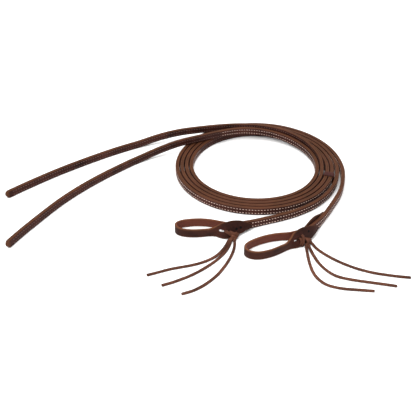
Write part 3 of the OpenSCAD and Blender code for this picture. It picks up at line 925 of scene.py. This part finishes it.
def leather_group():
    """Grain, mottling and fibre of oiled leather, from a strap's own map or from its place."""
    group = bpy.data.node_groups.new("leather_grain", "ShaderNodeTree")
    for name in ("Vector", "Strap map"):
        group.interface.new_socket(name, in_out="INPUT", socket_type="NodeSocketVector")
    for name in ("Mottle", "Grain", "Fibre", "Scuff"):
        group.interface.new_socket(name, in_out="OUTPUT", socket_type="NodeSocketFloat")
    t = Tree(group)
    source = t.add("NodeGroupInput")
    place, strap = source.outputs[0], source.outputs[1]
    mottle = t.add("ShaderNodeTexNoise", {
        "Vector": place, "Scale": 55, "Detail": 4, "Roughness": 0.6})
    patches = t.add("ShaderNodeTexNoise", {"Vector": place, "Scale": 13, "Detail": 2})
    both = t.math("ADD", t.math("MULTIPLY", mottle.outputs[0], 0.55),
                  t.math("MULTIPLY", patches.outputs[0], 0.45))
    cells = t.add("ShaderNodeTexVoronoi", {"Vector": place, "Scale": 1500, "Randomness": 1})
    pores = t.add("ShaderNodeTexNoise", {"Vector": place, "Scale": 900, "Detail": 3})
    grain = t.math("ADD", t.math("MULTIPLY", cells.outputs[0], 0.6),
                   t.math("MULTIPLY", pores.outputs[0], 0.5))
    drawn = t.add("ShaderNodeMapping", {"Vector": strap, "Scale": (60, 1700, 1)})
    fibre = t.add("ShaderNodeTexNoise", {"Vector": drawn.outputs[0], "Scale": 1, "Detail": 3})
    rubbed = t.add("ShaderNodeMapping", {"Vector": strap, "Scale": (35, 380, 1)})
    scuff = t.add("ShaderNodeTexNoise", {"Vector": rubbed.outputs[0], "Scale": 1, "Detail": 5,
                                         "Roughness": 0.7})
    t.add("NodeGroupOutput", {
        0: t.ramp(both, 0.36, 0.64), 1: grain, 2: fibre.outputs[0],
        3: t.ramp(scuff.outputs[0], 0.5, 0.78)})
    return group


def worn_group():
    """Where an edge is rubbed light: the edge mask, broken up by a scuff."""
    group = bpy.data.node_groups.new("edge_wear", "ShaderNodeTree")
    for name in ("Edge", "Scuff", "Amount"):
        group.interface.new_socket(name, in_out="INPUT", socket_type="NodeSocketFloat")
    group.interface.new_socket("Wear", in_out="OUTPUT", socket_type="NodeSocketFloat")
    t = Tree(group)
    source = t.add("NodeGroupInput")
    broken = t.math("ADD", t.math("MULTIPLY", source.outputs[1], 0.55), 0.5)
    worn = t.math("MULTIPLY", source.outputs[0], broken)
    wear = t.math("MULTIPLY", worn, source.outputs[2], True)
    t.add("NodeGroupOutput", {0: wear})
    return group


def leather_material(name, dark, light, edge, flesh=None, roughness=0.5, wear=1.0, fibre=0.35,
                     grain_depth=0.05, coat=0.0):
    """Leather with mottled colour, rubbed edges, fibrous cut edges and a fine grain."""
    material, t = new_material(name)
    place = t.add("ShaderNodeTexCoord").outputs["Object"]
    strap = t.add("ShaderNodeUVMap", uv_map="strap").outputs[0]
    groups = bpy.data.node_groups
    grain = t.add("ShaderNodeGroup", node_tree=groups.get("leather_grain") or leather_group())
    t.tree.links.new(place, grain.inputs[0])
    t.tree.links.new(strap, grain.inputs[1])
    edges = t.add("ShaderNodeAttribute", attribute_name="edge").outputs["Fac"]
    worn = t.add("ShaderNodeGroup", node_tree=groups.get("edge_wear") or worn_group())
    t.tree.links.new(edges, worn.inputs[0])
    t.tree.links.new(grain.outputs[3], worn.inputs[1])
    worn.inputs[2].default_value = wear
    streak = t.ramp(grain.outputs[2], 0.3, 0.7)
    colour = t.mix(grain.outputs[0], rgba(dark), rgba(light))
    if flesh is not None:
        inside = t.add("ShaderNodeAttribute", attribute_name="flesh_side").outputs["Fac"]
        streaks = t.mix(streak, rgba([0.62 * c for c in flesh]), rgba(flesh))
        colour = t.mix(t.math("MULTIPLY", inside, 0.85), colour, streaks)
    colour = t.mix(worn.outputs[0], colour, rgba(edge))
    if flesh is not None:
        # painted shade: the faces inside the lace holes go near black
        hole_shade = t.add("ShaderNodeAttribute", attribute_name="hole").outputs["Fac"]
        oiled = t.add("ShaderNodeAttribute", attribute_name="oiled").outputs["Fac"]
        colour = t.mix(t.math("MULTIPLY", oiled, 0.5), colour, rgba([0.7 * c for c in dark]))
        colour = t.mix(hole_shade, colour, rgba([0.1 * c for c in dark]))
    streaked = t.math("ADD", t.math("MULTIPLY", streak, fibre), 1 - fibre / 2)
    shade = t.add("ShaderNodeCombineColor", {0: streaked, 1: streaked, 2: streaked}).outputs[0]
    colour = t.mix(1.0, colour, shade, "MULTIPLY")
    rough = t.math("ADD", t.math("MULTIPLY", grain.outputs[3], 0.18), roughness)
    heights = t.math("ADD", t.math("MULTIPLY", grain.outputs[1], 0.6),
                     t.math("MULTIPLY", grain.outputs[2], 0.9))
    bump = t.add("ShaderNodeBump", {
        "Height": heights, "Distance": grain_depth * MM, "Strength": 1.0})
    shader = t.add("ShaderNodeBsdfPrincipled", {
        "Base Color": colour, "Roughness": rough, "Normal": bump.outputs[0],
        "Coat Weight": coat, "Coat Roughness": 0.3, "Specular IOR Level": 0.07})
    t.add("ShaderNodeOutputMaterial", {0: shader.outputs[0]})
    return material


def thread_material():
    """Waxed thread: a light twist of fibres, grimy in places, darkened by handling on the tails and
    by painted shade between strands of the coil.
    """
    material, t = new_material("waxed_thread")
    place = t.add("ShaderNodeTexCoord").outputs["Object"]
    thread_darkening = t.add("ShaderNodeTexNoise", {"Vector": place, "Scale": 160, "Detail": 3}).outputs[0]
    strands = t.add("ShaderNodeTexNoise", {"Vector": place, "Scale": 3200, "Detail": 2}).outputs[0]
    light = colours().thread
    colour = t.mix(t.ramp(thread_darkening, 0.3, 0.6), rgba([0.62 * c for c in light]), rgba(light))
    # the stitches' own darkening: grime on the tails, painted shade between strands of the coil
    dirt_and_shade = t.add("ShaderNodeAttribute", attribute_name="thread_darkening").outputs["Fac"]
    colour = t.mix(dirt_and_shade, colour, rgba(colours().leather_mid))
    bump = t.add("ShaderNodeBump", {"Height": strands, "Distance": 0.06 * MM})
    shader = t.add("ShaderNodeBsdfPrincipled", {
        "Base Color": colour, "Roughness": 0.6, "Normal": bump.outputs[0]})
    t.add("ShaderNodeOutputMaterial", {0: shader.outputs[0]})
    return material


def made_once(name, maker, *args, **kwargs):
    return bpy.data.materials.get(name) or maker(name, *args, **kwargs)


def strap_leather():
    c = colours()
    return made_once("strap_hide", leather_material, c.leather_dark, c.leather_mid, c.leather_edge)


def loop_leather():
    c = colours()
    # the loop's edges are 1.35 times as light as a rein's: the rubbed edge's own colour with a
    # painted highlight along the rims
    return made_once("bit_loop_hide", leather_material, c.leather_dark,
                     [0.9 * v for v in c.leather_mid], [1.35 * v for v in c.leather_edge],
                     c.flesh_side, wear=0.95)


def lace_leather():
    c = colours()
    return made_once("lace_hide", leather_material, [0.4 * v for v in c.lace], c.lace,
                     [0.8 * v for v in c.lace], wear=0.4, fibre=0.6, grain_depth=0.09)


def wrap_leather():
    c = colours()
    return made_once("lace_wrap_hide", leather_material, [0.35 * v for v in c.lace],
                     [0.75 * v for v in c.lace], [1.3 * v for v in c.lace], wear=0.8, fibre=0.6,
                     grain_depth=0.09)


def tie_leather():
    c = colours()
    return made_once("tie_hide", leather_material, [0.3 * v for v in c.tie], c.tie,
                     [1.3 * v for v in c.tie], roughness=0.4, wear=0.5, coat=0.08)


def dress(piece, material):
    piece.data.materials.clear()
    piece.data.materials.append(material)


# ---------------------------------------------------------------- bends, each only baking a piece's place into its mesh


def bend_rein(piece):
    """Bakes a rein piece's place into its mesh."""
    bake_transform(piece)


def bend_loop(piece):
    """Bakes a bit loop's place into its mesh."""
    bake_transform(piece)


def bend_lace(piece):
    """Bakes a lace's place into its mesh."""
    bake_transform(piece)


# ---------------------------------------------------------------- operators


CAMERA_FROM_COIL = (-0.0801, -1.0158, 0.630)
CAMERA_DOWN = 35  # degrees below level
CAMERA_LENS = 59.38


class REINS_OT_camera(bpy.types.Operator):
    """Adds the camera, looking down on the coil from the front"""

    bl_idname = "reins.camera"
    bl_label = "Camera"

    def execute(self, context):
        place = COIL_CENTRE + Vector(CAMERA_FROM_COIL)
        tilt = math.radians(90 - CAMERA_DOWN)
        bpy.ops.object.camera_add(location=place, rotation=(tilt, 0, 0))
        camera = context.object
        camera.name = "camera"
        camera.data.sensor_width = 36
        camera.data.lens = CAMERA_LENS
        camera.data.dof.use_dof = False
        context.scene.camera = camera
        return {"FINISHED"}


class REINS_OT_plies(bpy.types.Operator):
    """Builds the two plies of each rein"""

    bl_idname = "reins.plies"
    bl_label = "Plies"

    def execute(self, context):
        for side in SIDES:
            for outer in (True, False):
                piece = make_ply(side, outer)
                kind = "outer" if outer else "inner"
                dress(piece, strap_leather())
                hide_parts(f"{side}_rein_tail_{kind}_ply", f"{side}_rein_coil_{kind}_ply")
                bend_rein(piece)
        return {"FINISHED"}


class REINS_OT_stitching(bpy.types.Operator):
    """Builds the rows of stitches along each rein"""

    bl_idname = "reins.stitching"
    bl_label = "Stitching"

    def execute(self, context):
        thread = thread_material()
        for side in SIDES:
            for upper in (True, False):
                piece = make_stitching(side, upper)
                kind = "upper" if upper else "lower"
                dress(piece, thread)
                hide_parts(f"{side}_rein_tail_{kind}_stitching",
                            f"{side}_rein_coil_{kind}_stitching")
                bend_rein(piece)
        return {"FINISHED"}


class REINS_OT_bit_loops(bpy.types.Operator):
    """Builds the bit loops, each with the leaf that is laced over the rein's end"""

    bl_idname = "reins.bit_loops"
    bl_label = "Bit loops"

    def execute(self, context):
        for side in SIDES:
            piece = make_bit_loop(side)
            leaf = end_matrix(side)
            cutters = [hole_cutter(f"{side}_slit_cutter", slit_matrix(side), *SLIT_SIZE)]
            for back in HOLES_BACK[side]:
                spot = leaf @ Matrix.Translation((-back, HOLE_RISE[side], HOLE_OUT))
                cutters.append(hole_cutter(f"{side}_hole_cutter", spot, *HOLE_SIZE))
            for cutter in cutters:
                modify(piece, "BOOLEAN", operation="DIFFERENCE", object=cutter, solver="EXACT")
                bpy.data.objects.remove(cutter)
            add_hole_shade_mask(piece, [leaf @ Vector((-back, HOLE_RISE[side], LEAF_FACE))
                                  for back in HOLES_BACK[side]])
            only(piece)
            bpy.ops.object.shade_smooth_by_angle(angle=math.radians(40))
            dress(piece, loop_leather())
            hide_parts(f"{side}_loop_eye", f"{side}_loop_leaves")
            bend_loop(piece)
        return {"FINISHED"}


class REINS_OT_laces(bpy.types.Operator):
    """Builds each knot's two wraps and the three laces that hang from it"""

    bl_idname = "reins.laces"
    bl_label = "Laces"

    def execute(self, context):
        for side in SIDES:
            leaf = end_matrix(side)
            out = (leaf.to_3x3() @ Vector((0, 0, 1))).normalized()
            for wrap, shape in zip(("long", "short"), WRAPS[side]):
                points = [leaf @ Vector((x, y, z + LEAF_FACE)) for x, y, z in shape]
                piece, _ = make_lace(f"{side}_lace_{wrap}_wrap", points, [out] * len(points), 1.3)
                dress(piece, wrap_leather())
                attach(piece, "coil")
                if wrap == "long":
                    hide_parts(f"{side}_lace_knot")
            for seed, which in enumerate(("upper", "middle", "lower")):
                points, ups = lace_points(side, which)
                piece, places = make_lace(f"{side}_lace_{which}", points, ups, 4.0 + seed)
                dress(piece, lace_leather())
                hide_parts(f"{side}_lace_{which}_tail")
                bend_lace(piece)
        return {"FINISHED"}


TIE_SIZE = (0.0168, 0.0122)  # across the two strands, and along them
TIE_ROUNDING = 3.6 * MM


class REINS_OT_coil_tie(bpy.types.Operator):
    """Builds the leather band round two strands of the coil"""

    bl_idname = "reins.coil_tie"
    bl_label = "Coil tie"

    def execute(self, context):
        low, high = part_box("coil_tie")
        t = sizes().tie_thickness
        q = math.radians(90 - (TIE_AT - 360))
        middle_r = COIL_RADIUS + 2.5 * COIL_PITCH
        across, long = TIE_SIZE
        tall = high.z - low.z - t
        place = COIL_CENTRE + Vector((middle_r * math.cos(q), middle_r * math.sin(q), 0))
        bpy.ops.object.select_all(action="DESELECT")
        bpy.ops.mesh.primitive_cube_add(size=1, scale=(across, long, tall))
        piece = newest("coil_tie_band")
        choose(piece, lambda face: abs(face.normal.y) > 0.9)
        bpy.ops.object.mode_set(mode="EDIT")
        bpy.ops.mesh.delete(type="FACE")
        bpy.ops.object.mode_set(mode="OBJECT")
        piece.location = place + Vector((0, 0, t / 2 + tall / 2))
        piece.rotation_euler = (0, 0, q)
        settle(piece)
        modify(piece, "BEVEL", width=TIE_ROUNDING, segments=5)
        modify(piece, "SOLIDIFY", thickness=t, offset=0, use_even_offset=True)
        modify(piece, "BEVEL", width=0.45 * MM, segments=3)
        modify(piece, "SUBSURF", levels=1, render_levels=1)
        only(piece)
        bpy.ops.object.shade_smooth()
        add_edge_mask(piece, [0.0] * len(piece.data.vertices))
        piece.data.uv_layers.active.name = "strap"
        dress(piece, tie_leather())
        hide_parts("coil_tie")
        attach(piece, "tie")
        return {"FINISHED"}


class REINS_OT_declare(bpy.types.Operator):
    """Works out the sections of each rein"""

    bl_idname = "reins.declare"
    bl_label = "Rein lengths"

    def execute(self, context):
        for side in SIDES:
            places, _ = rein(side)
        return {"FINISHED"}


class REINS_OT_stage(bpy.types.Operator):
    """Adds the floor and the soft studio light"""

    bl_idname = "reins.stage"
    bl_label = "Stage"

    def execute(self, context):
        bpy.ops.object.select_all(action="DESELECT")
        bpy.ops.mesh.primitive_plane_add(size=8, location=(0, 0, -0.2 * MM))
        floor = newest("floor")
        settle(floor)
        material, t = new_material("pale_floor")
        shader = t.add("ShaderNodeBsdfPrincipled", {
            "Base Color": rgba(colours().floor), "Roughness": 0.9, "Specular IOR Level": 0.1})
        t.add("ShaderNodeOutputMaterial", {0: shader.outputs[0]})
        floor.data.materials.append(material)
        lights = (
            ("key", (-0.9, -0.9, 1.7), 1.3, 34),
            ("top", (0.2, 0.4, 1.9), 1.8, 30),
            ("fill", (1.3, -1.1, 0.9), 1.2, 5),
        )
        for name, place, size, power in lights:
            bpy.ops.object.light_add(type="AREA", location=place)
            light = context.object
            light.name = name
            light.data.size = size
            light.data.energy = power
            light.rotation_euler = (COIL_CENTRE - Vector(place)).to_track_quat("-Z", "Y").to_euler()
        world = bpy.data.worlds.new("studio")
        context.scene.world = world
        world.use_nodes = True
        world.node_tree.nodes["Background"].inputs[0].default_value = (1, 1, 1, 1)
        world.node_tree.nodes["Background"].inputs[1].default_value = 0.9
        context.scene.view_settings.view_transform = "Standard"
        return {"FINISHED"}


class REINS_PT_panel(bpy.types.Panel):
    """Lists the pieces of the reins"""

    bl_idname = "REINS_PT_panel"
    bl_label = "Leather split reins"
    bl_space_type = "VIEW_3D"
    bl_region_type = "UI"
    bl_category = "Reins"

    def draw(self, context):
        for group in (context.scene.rein_sizes, context.scene.rein_colours):
            for name in group.__annotations__:
                self.layout.prop(group, name)
        for operator in OPERATORS:
            self.layout.operator(operator.bl_idname)


OPERATORS = (
    REINS_OT_camera, REINS_OT_plies, REINS_OT_laces, REINS_OT_stitching, REINS_OT_bit_loops,
    REINS_OT_coil_tie, REINS_OT_declare, REINS_OT_stage,
)
GROUPS = (ReinSizes, ReinColours)


def register():
    for cls in (*GROUPS, *OPERATORS, REINS_PT_panel):
        bpy.utils.register_class(cls)
    bpy.types.Scene.rein_sizes = bpy.props.PointerProperty(type=ReinSizes)
    bpy.types.Scene.rein_colours = bpy.props.PointerProperty(type=ReinColours)


def unregister():
    del bpy.types.Scene.rein_colours
    del bpy.types.Scene.rein_sizes
    for cls in reversed((*GROUPS, *OPERATORS, REINS_PT_panel)):
        bpy.utils.unregister_class(cls)


def main():
    """Builds everything."""
    register()
    bpy.ops.reins.camera()
    bpy.ops.reins.plies()
    bpy.ops.reins.laces()
    bpy.ops.reins.stitching()
    bpy.ops.reins.bit_loops()
    bpy.ops.reins.coil_tie()
    bpy.ops.reins.declare()
    bpy.ops.reins.stage()


if __name__ == "__main__":
    main()
